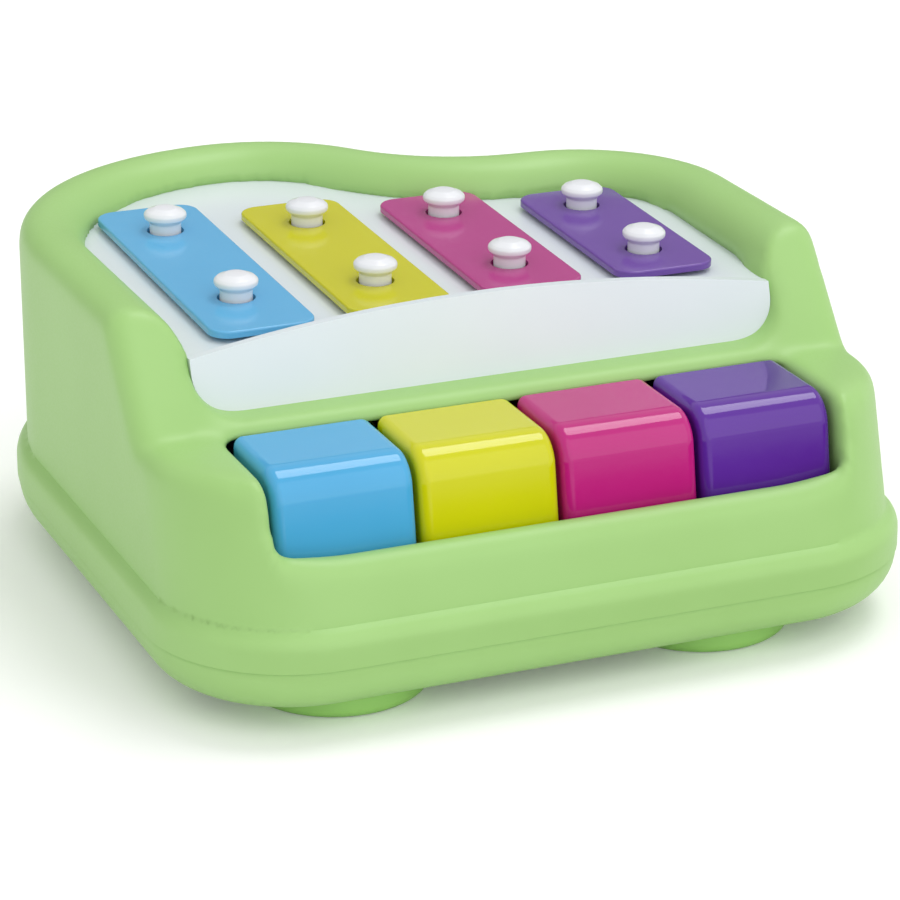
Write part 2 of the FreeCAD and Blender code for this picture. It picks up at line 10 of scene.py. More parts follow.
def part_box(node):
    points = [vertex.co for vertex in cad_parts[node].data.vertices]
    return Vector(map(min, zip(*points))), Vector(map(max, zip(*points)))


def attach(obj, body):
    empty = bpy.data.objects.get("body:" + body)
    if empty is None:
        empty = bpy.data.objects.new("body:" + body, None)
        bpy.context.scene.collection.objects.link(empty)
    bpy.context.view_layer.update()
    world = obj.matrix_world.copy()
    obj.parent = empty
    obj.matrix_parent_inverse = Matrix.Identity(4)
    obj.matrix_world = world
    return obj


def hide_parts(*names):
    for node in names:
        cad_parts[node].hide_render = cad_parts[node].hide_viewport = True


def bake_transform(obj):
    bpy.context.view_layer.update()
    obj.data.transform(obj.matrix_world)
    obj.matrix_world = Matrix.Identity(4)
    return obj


# The looks of a toy piano: moulded green housing, glossy keys, painted tone bars
# on white pegs, and a white deck panel. Lengths are in metres.

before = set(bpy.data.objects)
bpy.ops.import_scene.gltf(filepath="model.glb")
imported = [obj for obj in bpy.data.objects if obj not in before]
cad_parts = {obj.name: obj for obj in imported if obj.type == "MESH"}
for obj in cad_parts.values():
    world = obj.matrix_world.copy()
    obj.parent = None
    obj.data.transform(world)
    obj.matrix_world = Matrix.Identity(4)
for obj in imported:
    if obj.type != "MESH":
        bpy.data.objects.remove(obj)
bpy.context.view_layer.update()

MM = 0.001
KEY_COLOURS = ("blue", "yellow", "pink", "purple")
FEET = ("foot_front_left", "foot_front_right", "foot_rear_left", "foot_rear_right")
FELT_STRIPS = ("tail_rest_felt", "key_stop_felt")
HOUSING = "housing"
DECK_TILT = math.radians(1.5)
CREASE = math.radians(40)
JOIN_GAP = 0.001 * MM
WHITE = (1, 1, 1, 1)


# Colour and node helpers

def linear(hex_colour):
    """sRGB hex text to the linear colour that sockets take."""
    channels = [int(hex_colour[i:i + 2], 16) / 255 for i in (1, 3, 5)]
    straight = [c / 12.92 if c <= 0.04045 else ((c + 0.055) / 1.055) ** 2.4 for c in channels]
    return (*straight, 1.0)


def add(tree, kind, settings=None, links=None):
    """One node: settings are properties, or input values by name or number, and links are
    inputs with their sources."""
    made = tree.nodes.new(kind)
    for name, value in (settings or {}).items():
        if isinstance(name, int) or name in made.inputs.keys():
            made.inputs[name].default_value = value
        else:
            setattr(made, name, value)
    for name, source in (links or {}).items():
        tree.links.new(source, made.inputs[name])
    return made


def blank_material(name):
    """New material and its empty node tree."""
    material = bpy.data.materials.new(name)
    material.use_nodes = True
    material.node_tree.nodes.clear()
    return material, material.node_tree


def per_metre(size_mm):
    """Noise scale whose features are about that many millimetres wide."""
    return 1 / (size_mm * MM)


# Numbers of the colour sockets of a Mix node
MIX_A = 6
MIX_B = 7
MIX_RESULT = 2

CLOUD_MM = 45
CLOUD_DETAIL = 3.0
CLOUD_FROM = 0.35
CLOUD_TO = 0.75
GRAIN_DETAIL = 2.0
GRAIN_FROM = 0.3
GRAIN_TO = 0.7
GRAIN_STRENGTH = 0.3
PLASTIC_GLOSS_SPREAD = 0.1


def moulded_plastic(name, colour, deep, roughness, ior, grain_mm, grain_depth_mm):
    """Injection-moulded plastic or sprayed enamel: even colour with a faint cloud of a deeper
    tone where it flowed, a satin or polished skin, and the fine texture of the mould."""
    material, tree = blank_material(name)
    place = add(tree, "ShaderNodeTexCoord").outputs["Object"]
    cloud = add(tree, "ShaderNodeTexNoise", {"Scale": per_metre(CLOUD_MM), "Detail": CLOUD_DETAIL},
                {"Vector": place})
    share = add(tree, "ShaderNodeMapRange", {"From Min": CLOUD_FROM, "From Max": CLOUD_TO},
                {"Value": cloud.outputs["Fac"]})
    tone = add(tree, "ShaderNodeMix", {
        "data_type": "RGBA", MIX_A: linear(colour), MIX_B: linear(deep)},
        {"Factor": share.outputs["Result"]})
    grain = add(tree, "ShaderNodeTexNoise", {"Scale": per_metre(grain_mm), "Detail": GRAIN_DETAIL},
                {"Vector": place})
    skin = add(tree, "ShaderNodeMapRange", {
        "From Min": GRAIN_FROM, "From Max": GRAIN_TO,
        "To Min": roughness * (1 - PLASTIC_GLOSS_SPREAD),
        "To Max": roughness * (1 + PLASTIC_GLOSS_SPREAD)},
        {"Value": grain.outputs["Fac"]})
    bump = add(tree, "ShaderNodeBump", {"Strength": GRAIN_STRENGTH, "Distance": grain_depth_mm * MM},
               {"Height": grain.outputs["Fac"]})
    shader = add(tree, "ShaderNodeBsdfPrincipled", {"IOR": ior}, {
        "Base Color": tone.outputs[MIX_RESULT],
        "Roughness": skin.outputs["Result"],
        "Normal": bump.outputs["Normal"]})
    add(tree, "ShaderNodeOutputMaterial", None, {"Surface": shader.outputs["BSDF"]})
    return material


DRAWING_MARK_MM = 0.8
DRAWING_DETAIL = 4.0
STEEL_GLOSS_SPREAD = 0.3


def bare_steel(name, colour, roughness):
    """Drawn, plated or rolled steel: grey metal with fine drawing marks."""
    material, tree = blank_material(name)
    place = add(tree, "ShaderNodeTexCoord").outputs["Object"]
    marks = add(tree, "ShaderNodeTexNoise", {"Scale": per_metre(DRAWING_MARK_MM), "Detail": DRAWING_DETAIL},
                {"Vector": place})
    skin = add(tree, "ShaderNodeMapRange", {
        "To Min": roughness * (1 - STEEL_GLOSS_SPREAD), "To Max": roughness * (1 + STEEL_GLOSS_SPREAD)},
        {"Value": marks.outputs["Fac"]})
    shader = add(tree, "ShaderNodeBsdfPrincipled", {"Base Color": linear(colour), "Metallic": 1.0},
                 {"Roughness": skin.outputs["Result"]})
    add(tree, "ShaderNodeOutputMaterial", None, {"Surface": shader.outputs["BSDF"]})
    return material


FIBRE_MM = 0.7
FIBRE_DETAIL = 6.0
FIBRE_STRENGTH = 0.6
FIBRE_DEPTH = 0.2 * MM
FELT_ROUGHNESS = 0.95
FELT_SHEEN = 0.3


def pressed_felt(name, colour, deep):
    """Pressed felt or soft foam: matte, with a short matted pile."""
    material, tree = blank_material(name)
    place = add(tree, "ShaderNodeTexCoord").outputs["Object"]
    fibre = add(tree, "ShaderNodeTexNoise", {"Scale": per_metre(FIBRE_MM), "Detail": FIBRE_DETAIL},
                {"Vector": place})
    tone = add(tree, "ShaderNodeMix", {
        "data_type": "RGBA", MIX_A: linear(colour), MIX_B: linear(deep)},
        {"Factor": fibre.outputs["Fac"]})
    bump = add(tree, "ShaderNodeBump", {"Strength": FIBRE_STRENGTH, "Distance": FIBRE_DEPTH},
               {"Height": fibre.outputs["Fac"]})
    shader = add(tree, "ShaderNodeBsdfPrincipled", {
        "Roughness": FELT_ROUGHNESS, "Sheen Weight": FELT_SHEEN},
        {"Base Color": tone.outputs[MIX_RESULT], "Normal": bump.outputs["Normal"]})
    add(tree, "ShaderNodeOutputMaterial", None, {"Surface": shader.outputs["BSDF"]})
    return material


# Skins of the moulded and painted pieces. The waviness of polish and of enamel is drawn as wide
# as it needs to show.
SATIN = {"roughness": 0.42, "ior": 1.49, "grain_mm": 0.6, "grain_depth_mm": 0.02}
DULL_SATIN = {"roughness": 0.45, "ior": 1.49, "grain_mm": 0.6, "grain_depth_mm": 0.02}
GLOSSY = {"roughness": 0.22, "ior": 1.5, "grain_mm": 0.8, "grain_depth_mm": 0.01}
SHINY = {"roughness": 0.18, "ior": 1.5, "grain_mm": 0.8, "grain_depth_mm": 0.01}
DULL = {"roughness": 0.5, "ior": 1.5, "grain_mm": 0.5, "grain_depth_mm": 0.02}
POLISHED = {"roughness": 0.07, "ior": 1.46, "grain_mm": 3.0, "grain_depth_mm": 0.01}
ENAMELLED = {"roughness": 0.14, "ior": 1.5, "grain_mm": 2.0, "grain_depth_mm": 0.01}

# Satin polypropylene: an even pale green with broad soft highlights
housing_green = moulded_plastic("green_polypropylene_satin", "#A1CC7B", "#9DC876", **SATIN)
# The same plastic with a slightly duller skin, on the feet. Its green is a little more saturated than the
# housing's: painted bounce light from the green underside
foot_green_painted_bounce = moulded_plastic("green_foot_plastic_painted_bounce", "#9BCF6E", "#96CA69", **DULL_SATIN)
# Glossy ABS: a cool white that mirrors its neighbours faintly
panel_white = moulded_plastic("white_abs_panel", "#E0E8EC", "#DCE5E9", **GLOSSY)
# Shiny ABS: small bright spots on the domes of the pegs
peg_white = moulded_plastic("white_abs_pegs", "#E9EBEF", "#E5E7EB", **SHINY)
# Nylon: near black with a weak shine
tip_black = moulded_plastic("black_nylon_tips", "#26262A", "#202024", **DULL)
# Foam rings and felt strips: matte greys
cushion_grey = pressed_felt("grey_foam_cushions", "#C9C9C4", "#B9B9B4")
strip_felt = pressed_felt("grey_felt_strips", "#77777B", "#626266")
# Drawn rod, plated screws and rolled spring strip: bright grey metal
rod_steel = bare_steel("drawn_steel_rod", "#C8CACD", roughness=0.3)
screw_steel = bare_steel("zinc_plated_screws", "#C3C6C9", roughness=0.32)
spring_steel = bare_steel("spring_steel_strip", "#B5B7BA", roughness=0.35)
# Polished ABS: strong colours with crisp highlights along the edges of the keys
KEY_TONES = {
    "blue": ("#4CAADA", "#47A5D6"),
    "yellow": ("#CFCF00", "#CACA00"),
    "pink": ("#BE1C7C", "#B91876"),
    "purple": ("#5A2498", "#562192"),
}
key_plastic = {
    colour: moulded_plastic(colour + "_abs_polished", *tones, **POLISHED)
    for colour, tones in KEY_TONES.items()}
# Sprayed enamel on steel: the same colours, paler and with softer highlights
BAR_TONES = {
    "blue": ("#62B2E0", "#5EAEDC"),
    "yellow": ("#CDCA14", "#C9C610"),
    "pink": ("#B63D88", "#B23984"),
    "purple": ("#6F49A2", "#6B459E"),
}
bar_paint = {
    colour: moulded_plastic(colour + "_enamel_on_steel", *tones, **ENAMELLED)
    for colour, tones in BAR_TONES.items()}


# Pieces that follow the CAD nodes

def put_in_scene(name, data):
    """New object at the origin that holds a mesh, a lamp or a camera."""
    piece = bpy.data.objects.new(name, data)
    bpy.context.scene.collection.objects.link(piece)
    return piece


def joined(node_name):
    """Working copy of a CAD node's triangles, with their shared corners joined."""
    work = bmesh.new()
    work.from_mesh(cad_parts[node_name].data)
    bmesh.ops.remove_doubles(work, verts=work.verts, dist=JOIN_GAP)
    return work


def groups(items, neighbours):
    """Items that hang together, group by group in their own order. What counts as a neighbour may
    depend on the first item of the group."""
    left = set(items)
    found = []
    for first in items:
        if first not in left:
            continue
        left.remove(first)
        group, reach = [first], [first]
        while reach:
            for other in neighbours(reach.pop(), first):
                if other in left:
                    left.remove(other)
                    group.append(other)
                    reach.append(other)
        found.append(group)
    return found


# Faces whose normals agree this closely are one flat, and a flat of this area leads the shading
FLAT_MATCH = math.cos(math.radians(0.1))
FLAT_AREA = 40 * MM * MM
# The layer that the Weighted Normal modifier reads, and its value for a strong face
FACE_STRENGTH = "__mod_weightednormals_faceweight"
STRONG_FACE = 16384


def flat_neighbours(face, first):
    """Faces across the edges of a face that are level with the first one."""
    around = [other for edge in face.edges for other in edge.link_faces]
    return [other for other in around if other.normal.dot(first.normal) > FLAT_MATCH]


def mark_flats(work):
    """Gives each large flat face the say over the shading along its edges, so that it looks flat."""
    strength = work.faces.layers.int.new(FACE_STRENGTH)
    for flat in groups(work.faces, flat_neighbours):
        if sum(face.calc_area() for face in flat) > FLAT_AREA:
            for face in flat:
                face[strength] = STRONG_FACE


def copy_node(node_name, material):
    """Copy of a CAD node with joined corners, smooth rounded faces, creased edges and its finish."""
    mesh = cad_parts[node_name].data.copy()
    mesh.name = node_name + "_skin"
    work = joined(node_name)
    work.normal_update()
    mark_flats(work)
    for face in work.faces:
        face.smooth = True
    for edge in work.edges:
        edge.smooth = edge.calc_face_angle(math.pi) < CREASE
    work.to_mesh(mesh)
    work.free()
    imported = mesh.attributes.get("custom_normal")
    if imported:
        mesh.attributes.remove(imported)
    mesh.materials.clear()
    mesh.materials.append(material)
    return put_in_scene(node_name + "_skin", mesh)


def dress(node_name, body, material):
    """Stands a smooth copy in for a CAD node, on its body."""
    piece = copy_node(node_name, material)
    weigh = piece.modifiers.new("even_shading", "WEIGHTED_NORMAL")
    weigh.keep_sharp = True
    weigh.use_face_influence = True
    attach(piece, body)
    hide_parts(node_name)
    return piece


def finish_node(node_name, material):
    """CAD node that stays as it is, with its own finish."""
    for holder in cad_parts[node_name].material_slots:
        holder.material = material


def leaf_spring(colour):
    """Folded leaf spring of one key, copied in place with its finish."""
    node_name = "return_spring_" + colour
    piece = copy_node(node_name, spring_steel)
    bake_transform(piece)
    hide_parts(node_name)


# Lower housing

PARTING_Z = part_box("upper_housing")[0][2]
PARTING_STEP = 0.4 * MM
# A face whose normal rises less than this is a side wall, and a point this close lies on the line
SIDE_WALL_RISE = 0.7
LINE_GAP = 0.01 * MM


def step_parting_edge(mesh):
    """Draws the upper edge of the lower shell in a little, so that the parting line shows as a
    fine shadow."""
    inward = {}
    for face in mesh.polygons:
        if abs(face.normal.z) < SIDE_WALL_RISE:
            for number in face.vertices:
                inward[number] = inward.get(number, Vector()) - face.normal
    for number, way in inward.items():
        point = mesh.vertices[number]
        outside = way.dot(point.co) < 0
        if outside and abs(point.co.z - PARTING_Z) < LINE_GAP:
            way.z = 0
            point.co += way.normalized() * PARTING_STEP


def lower_housing():
    """Lower shell with its fine step at the parting line."""
    piece = dress("lower_housing", HOUSING, housing_green)
    step_parting_edge(piece.data)


# Upper housing, a thick moulding with soft edges

SKIN_VOXEL = 1.4 * MM
EASE_SHARE = 0.5
# The band that keeps its CAD faces, the seam above it, and the edges that are drawn sharp there
CRISP_BELOW_Z = 36 * MM
SEAM_BELOW = 2 * MM
SEAM_ABOVE = 6 * MM
EDGE_ANGLE = math.radians(30)
EDGE_STEP = 0.3 * MM

# Places on the housing: the key slot, the ledge before it and the front of the deck
KEY_GAP = 1.4 * MM
SLOT_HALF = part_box("key_purple")[1][0] + KEY_GAP
SLOT_FRONT_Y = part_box("key_purple")[0][1] - KEY_GAP / 2
LEDGE_Z = 46.5 * MM
DECK_Z = 84.8 * MM
DECK_FRONT_Y = -46.7 * MM

UPPER_BODY_Z = 39 * MM
CHEEK_EDGE_REACH = 9 * MM
CHEEK_REAR_Y = -45 * MM
CHEEK_LOW_Z = 53 * MM


def upper_body(p):
    """Whether a point lies above the flange."""
    return p.z > UPPER_BODY_Z


def cheek_edges(p):
    """Whether a point lies along the edges of the cheeks beside the key slot."""
    return abs(abs(p.x) - SLOT_HALF) < CHEEK_EDGE_REACH and p.y < CHEEK_REAR_Y and p.z > CHEEK_LOW_Z


# Where the skin is eased, and how many times
EASED_ZONES = ((upper_body, 7), (cheek_edges, 10))


def edge_lines(core):
    """Points close together along the creases and edges of the lowest band of a CAD node."""
    spots = []
    for edge in core.edges:
        start, end = edge.verts[0].co, edge.verts[1].co
        in_band = max(start.z, end.z) < CRISP_BELOW_Z
        if in_band and edge.is_manifold and edge.calc_face_angle() > EDGE_ANGLE:
            count = int((end - start).length / EDGE_STEP) + 1
            spots.extend(start.lerp(end, i / count) for i in range(count + 1))
    return spots


def even_skin(node_name, core):
    """Mesh of small even faces over a solid."""
    mesh = bpy.data.meshes.new(node_name + "_core")
    core.to_mesh(mesh)
    holder = put_in_scene(node_name + "_core", mesh)
    even = holder.modifiers.new("even_skin", "REMESH")
    even.mode = "VOXEL"
    even.voxel_size = SKIN_VOXEL
    seen = bpy.context.evaluated_depsgraph_get()
    skin = bpy.data.meshes.new_from_object(holder.evaluated_get(seen))
    bpy.data.objects.remove(holder)
    skin.name = node_name + "_skin"
    return skin


def ease(work, points, rounds):
    """Rounds edges by averaging the points with their neighbours."""
    for _ in range(rounds):
        bmesh.ops.smooth_vert(work, verts=points, factor=EASE_SHARE,
                              use_axis_x=True, use_axis_y=True, use_axis_z=True)


def settle(points, faces, spots):
    """Puts skin points back on the CAD faces, and draws the nearest one to each spot of an edge
    onto that edge, so that every edge is whole. Returns the points that lie on edges."""
    for point in points:
        point.co = faces.find_nearest(point.co)[0]
    near = KDTree(len(points))
    for number, point in enumerate(points):
        near.insert(point.co, number)
    near.balance()
    claims = {}
    for spot in spots:
        _, number, gap = near.find(spot)
        if number not in claims or gap < claims[number][0]:
            claims[number] = (gap, spot)
    for number, (_, spot) in claims.items():
        points[number].co = spot
    return {points[number] for number in claims}


def soften(node_name, material):
    """Mesh of a CAD node as thick soft-edged moulding: an even skin of small faces whose edges are
    eased by averaging, more often in some zones. The lowest band stays on the CAD faces, so that
    the parting edge is crisp."""
    core = joined(node_name)
    faces = BVHTree.FromBMesh(core)
    spots = edge_lines(core)
    skin = even_skin(node_name, core)
    core.free()
    work = bmesh.new()
    work.from_mesh(skin)
    for inside, rounds in EASED_ZONES:
        ease(work, [v for v in work.verts if inside(v.co)], rounds)
    on_line = settle([v for v in work.verts if v.co.z < CRISP_BELOW_Z], faces, spots)
    seam = [v for v in work.verts if -SEAM_BELOW < v.co.z - CRISP_BELOW_Z < SEAM_ABOVE]
    ease(work, seam, rounds=1)
    for edge in work.edges:
        edge.smooth = not (edge.verts[0] in on_line and edge.verts[1] in on_line)
    for face in work.faces:
        face.smooth = True
    work.to_mesh(skin)
    work.free()
    skin.materials.clear()
    skin.materials.append(material)
    return skin


# How far the lip rises at its ends, and how far from there it does so each way
LIP_RISE = 2.4 * MM
LIP_RUN_IN_SLOT = 22 * MM
LIP_RUN_IN_CHEEK = 7 * MM
LIP_RUN_UP = 8 * MM
LIP_RUN_DOWN = 9 * MM
LIP_DEPTH = 4 * MM


def raise_lip_corners(mesh):
    """Lets the front lip rise in a soft curve into the cheeks at both ends of the slot."""
    for point in mesh.vertices:
        inside = SLOT_HALF - abs(point.co.x)
        share = 1 - inside / LIP_RUN_IN_SLOT if inside > 0 else 1 + inside / LIP_RUN_IN_CHEEK
        above = point.co.z - LEDGE_Z
        depth = 1 - above / LIP_RUN_UP if above > 0 else 1 + above / LIP_RUN_DOWN
        if share > 0 and depth > 0 and point.co.y < SLOT_FRONT_Y + LIP_DEPTH:
            point.co.z += LIP_RISE * share ** 2 * depth


def fade(distance, reach):
    """1 at no distance, falling smoothly to 0 at the reach."""
    share = max(0.0, 1 - abs(distance) / reach)
    return share * share * (3 - 2 * share)


RIM_TUCK = 1.0 * MM
RIM_TUCK_HEIGHT = 1.2 * MM
RIM_TUCK_RUN = 14 * MM


def tuck_rim(mesh):
    """Presses the lower edge of the rim wall a little into the deck, so that no gap shows."""
    for point in mesh.vertices:
        deck_z = DECK_Z + (point.co.y - DECK_FRONT_Y) * math.tan(DECK_TILT)
        along = fade(min(point.co.y - DECK_FRONT_Y - RIM_TUCK_RUN, 0), RIM_TUCK_RUN)
        if abs(point.co.z - deck_z) < RIM_TUCK_HEIGHT:
            point.co.z -= RIM_TUCK * along


# Middle of the gap at each end of the fascia, and how far the press reaches about it
FASCIA_HALF = 86.9 * MM
FASCIA_GAP_Y = -38.0 * MM
FASCIA_GAP_Z = 83.0 * MM
FASCIA_TUCK = 1.4 * MM
FASCIA_TUCK_ACROSS = 4 * MM
FASCIA_TUCK_DEEP = 18 * MM
FASCIA_TUCK_HIGH = 8 * MM


def tuck_fascia_ends(mesh):
    """Presses the shoulders against both ends of the fascia and of the deck behind it, so that no
    gap shows there."""
    for point in mesh.vertices:
        across = fade(abs(point.co.x) - FASCIA_HALF, FASCIA_TUCK_ACROSS)
        deep = fade(point.co.y - FASCIA_GAP_Y, FASCIA_TUCK_DEEP)
        high = fade(point.co.z - FASCIA_GAP_Z, FASCIA_TUCK_HIGH)
        point.co.x -= math.copysign(FASCIA_TUCK * across * deep * high, point.co.x)


def upper_housing():
    """Upper shell with soft edges, which closes on the deck panel."""
    skin = soften("upper_housing", housing_green)
    raise_lip_corners(skin)
    tuck_rim(skin)
    tuck_fascia_ends(skin)
    piece = put_in_scene("upper_housing_skin", skin)
    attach(piece, HOUSING)
    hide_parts("upper_housing")


# Pieces that repeat: pegs and screws, each grown on the places of its CAD solids

def edge_neighbours(point, _):
    """Points at the far ends of the edges of a point."""
    return [edge.other_vert(point) for edge in point.link_edges]


def solid_boxes(node_name):
    """Low and high corner of each separate solid of a CAD node."""
    work = joined(node_name)
    boxes = []
    for solid in groups(work.verts, edge_neighbours):
        low = Vector([min(point.co[i] for point in solid) for i in range(3)])
        high = Vector([max(point.co[i] for point in solid) for i in range(3)])
        boxes.append((low, high))
    work.free()
    return boxes


def begin_tree(name, sizes):
    """Geometry tree with named inputs: the places, each size and the finish."""
    tree = bpy.data.node_groups.new(name, "GeometryNodeTree")
    tree.interface.new_socket("Places", in_out="INPUT", socket_type="NodeSocketGeometry")
    for label in sizes:
        tree.interface.new_socket(label, in_out="INPUT", socket_type="NodeSocketFloat")
    tree.interface.new_socket("Finish", in_out="INPUT", socket_type="NodeSocketMaterial")
    tree.interface.new_socket("Pieces", in_out="OUTPUT", socket_type="NodeSocketGeometry")
    return tree, tree.nodes.new("NodeGroupInput").outputs


ROUNDING_STEPS = 5
AXIS_RADIUS = 0.001 * MM
POLE_GAP = 0.005 * MM


def lathe(tree, corners, edge_round, segments):
    """Turned body: a line through the corners (radius and height sockets), its corners rounded,
    swept round the upright axis."""
    line = add(tree, "GeometryNodeMeshLine", {"Count": len(corners)})
    index = add(tree, "GeometryNodeInputIndex")
    pick = add(tree, "GeometryNodeIndexSwitch", {"data_type": "VECTOR"}, {"Index": index.outputs[0]})
    while len(pick.index_switch_items) < len(corners):
        pick.index_switch_items.new()
    for number, (radius, height) in enumerate(corners):
        spot = add(tree, "ShaderNodeCombineXYZ")
        if radius is not None:
            tree.links.new(radius, spot.inputs["X"])
        tree.links.new(height, spot.inputs["Y"])
        tree.links.new(spot.outputs[0], pick.inputs[number + 1])
    shaped = add(tree, "GeometryNodeSetPosition", None, {
        "Geometry": line.outputs[0], "Position": pick.outputs[0]})
    outline = add(tree, "GeometryNodeMeshToCurve", None, {"Mesh": shaped.outputs[0]})
    eased = add(tree, "GeometryNodeFilletCurve", {
        "mode": "POLY", "Count": ROUNDING_STEPS, "Limit Radius": True},
        {"Curve": outline.outputs[0], "Radius": edge_round})
    ring = add(tree, "GeometryNodeCurvePrimitiveCircle", {"Resolution": segments, "Radius": AXIS_RADIUS})
    turned = add(tree, "GeometryNodeCurveToMesh", None, {
        "Curve": ring.outputs[0], "Profile Curve": eased.outputs[0]})
    upright = add(tree, "GeometryNodeTransform", {"Rotation": (math.pi, 0, 0)},
                  {"Geometry": turned.outputs[0]})
    closed = add(tree, "GeometryNodeMergeByDistance", {"Distance": POLE_GAP},
                 {"Geometry": upright.outputs[0]})
    return closed.outputs[0]


def end_tree(tree, given, shape):
    """The shape stands on every place, leaning back with the deck, as plain mesh with its finish."""
    lean = add(tree, "ShaderNodeCombineXYZ", None, {"X": given["Lean"]})
    turn = add(tree, "FunctionNodeEulerToRotation", None, {"Euler": lean.outputs[0]})
    stand = add(tree, "GeometryNodeInstanceOnPoints", None, {
        "Points": given["Places"], "Instance": shape, "Rotation": turn.outputs[0]})
    plain = add(tree, "GeometryNodeRealizeInstances", None, {"Geometry": stand.outputs[0]})
    finish = add(tree, "GeometryNodeSetMaterial", None, {
        "Geometry": plain.outputs[0], "Material": given["Finish"]})
    add(tree, "NodeGroupOutput", None, {"Pieces": finish.outputs[0]})


def grow(name, tree, places, values):
    """Runs a tree on the places and returns the result as a plain mesh object."""
    seed = bpy.data.meshes.new(name + "_places")
    seed.from_pydata(places, [], [])
    holder = put_in_scene(name + "_places", seed)
    modifier = holder.modifiers.new("grow", "NODES")
    modifier.node_group = tree
    for item in tree.interface.items_tree:
        if item.in_out == "INPUT" and item.name in values:
            modifier[item.identifier] = values[item.name]
    seen = bpy.context.evaluated_depsgraph_get()
    mesh = bpy.data.meshes.new_from_object(holder.evaluated_get(seen))
    bpy.data.objects.remove(holder)
    mesh.name = name
    work = bmesh.new()
    work.from_mesh(mesh)
    bmesh.ops.recalc_face_normals(work, faces=work.faces)
    for face in work.faces:
        face.smooth = True
    work.to_mesh(mesh)
    work.free()
    mesh.set_sharp_from_angle(angle=CREASE)
    return put_in_scene(name, mesh)


PEG_PLUG_RADIUS = 2.6 * MM
PEG_NECK_RADIUS = 4.6 * MM
PEG_BRIM_RADIUS = 6.2 * MM
PEG_PLUG_LENGTH = 5.5 * MM
PEG_NECK_LENGTH = 6.0 * MM
PEG_FLARE = 1.5 * MM
PEG_EDGE = 1.2 * MM
PEG_DOME = 2.0 * MM
PEG_ROUNDING = 0.9 * MM
PEG_SEGMENTS = 48
# Two points on the curve of the dome, in brim radii and dome heights
DOME_RADIUS_SHARE = 0.86
DOME_HEIGHT_SHARE = 0.4
CROWN_RADIUS_SHARE = 0.5
CROWN_HEIGHT_SHARE = 0.84


def peg_tree():
    """Mushroom peg about the middle of its brim: plug, neck, flared brim and low dome."""
    tree, given = begin_tree("mushroom_pegs", [
        "Plug Radius", "Neck Radius", "Brim Radius", "Dome Radius", "Crown Radius",
        "Plug Low", "Deck", "Brim Low", "Brim Wide", "Brim High", "Dome", "Crown", "Top",
        "Rounding", "Lean"])
    corners = [
        (None, given["Plug Low"]),
        (given["Plug Radius"], given["Plug Low"]),
        (given["Plug Radius"], given["Deck"]),
        (given["Neck Radius"], given["Deck"]),
        (given["Neck Radius"], given["Brim Low"]),
        (given["Brim Radius"], given["Brim Wide"]),
        (given["Brim Radius"], given["Brim High"]),
        (given["Dome Radius"], given["Dome"]),
        (given["Crown Radius"], given["Crown"]),
        (None, given["Top"]),
    ]
    end_tree(tree, given, lathe(tree, corners, given["Rounding"], PEG_SEGMENTS))
    return tree


def mushroom_pegs():
    """The eight white pegs that hold the tone bars."""
    brim_mid = PEG_DOME + PEG_EDGE / 2
    places = []
    for low, high in solid_boxes("bar_pegs"):
        middle = (low + high) / 2
        places.append((middle.x, middle.y, high.z - brim_mid))
    brim_low = -PEG_EDGE / 2 - PEG_FLARE
    deck = brim_low - PEG_NECK_LENGTH
    brim_high = PEG_EDGE / 2
    piece = grow("bar_pegs_skin", peg_tree(), places, {
        "Plug Radius": PEG_PLUG_RADIUS,
        "Neck Radius": PEG_NECK_RADIUS,
        "Brim Radius": PEG_BRIM_RADIUS,
        "Dome Radius": PEG_BRIM_RADIUS * DOME_RADIUS_SHARE,
        "Crown Radius": PEG_BRIM_RADIUS * CROWN_RADIUS_SHARE,
        "Plug Low": deck - PEG_PLUG_LENGTH,
        "Deck": deck,
        "Brim Low": brim_low,
        "Brim Wide": brim_low + PEG_FLARE,
        "Brim High": brim_high,
        "Dome": brim_high + PEG_DOME * DOME_HEIGHT_SHARE,
        "Crown": brim_high + PEG_DOME * CROWN_HEIGHT_SHARE,
        "Top": brim_high + PEG_DOME,
        "Rounding": PEG_ROUNDING,
        "Lean": DECK_TILT,
        "Finish": peg_white})
    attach(piece, HOUSING)
    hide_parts("bar_pegs")


SCREW_HEAD_RADIUS = 3.0 * MM
SCREW_HEAD_HEIGHT = 2.2 * MM
SCREW_SHANK_RADIUS = 1.4 * MM
SCREW_ROUNDING = 0.6 * MM
SCREW_SEGMENTS = 32
RECESS_LENGTH = 3.4 * MM
RECESS_WIDTH = 0.9 * MM
RECESS_DEPTH = 2.4 * MM


def screw_tree():
    """Pan-head screw about the seat of its head, which looks down, with a cross recess."""
    tree, given = begin_tree("cross_head_screws", [
        "Head Radius", "Head Low", "Seat", "Shank Radius", "Shank Top", "Rounding",
        "Recess Length", "Recess Width", "Recess Depth", "Lean"])
    corners = [
        (None, given["Head Low"]),
        (given["Head Radius"], given["Head Low"]),
        (given["Head Radius"], given["Seat"]),
        (given["Shank Radius"], given["Seat"]),
        (given["Shank Radius"], given["Shank Top"]),
        (None, given["Shank Top"]),
    ]
    body = lathe(tree, corners, given["Rounding"], SCREW_SEGMENTS)
    low = add(tree, "ShaderNodeCombineXYZ", None, {"Z": given["Head Low"]})
    for length, width in (("Recess Length", "Recess Width"), ("Recess Width", "Recess Length")):
        size = add(tree, "ShaderNodeCombineXYZ", None, {
            "X": given[length], "Y": given[width], "Z": given["Recess Depth"]})
        slot = add(tree, "GeometryNodeMeshCube", None, {"Size": size.outputs[0]})
        moved = add(tree, "GeometryNodeTransform", None, {
            "Geometry": slot.outputs[0], "Translation": low.outputs[0]})
        cut = add(tree, "GeometryNodeMeshBoolean", {"operation": "DIFFERENCE", "solver": "EXACT"}, {
            "Mesh 1": body, "Mesh 2": moved.outputs[0]})
        body = cut.outputs["Mesh"]
    end_tree(tree, given, body)
    return tree


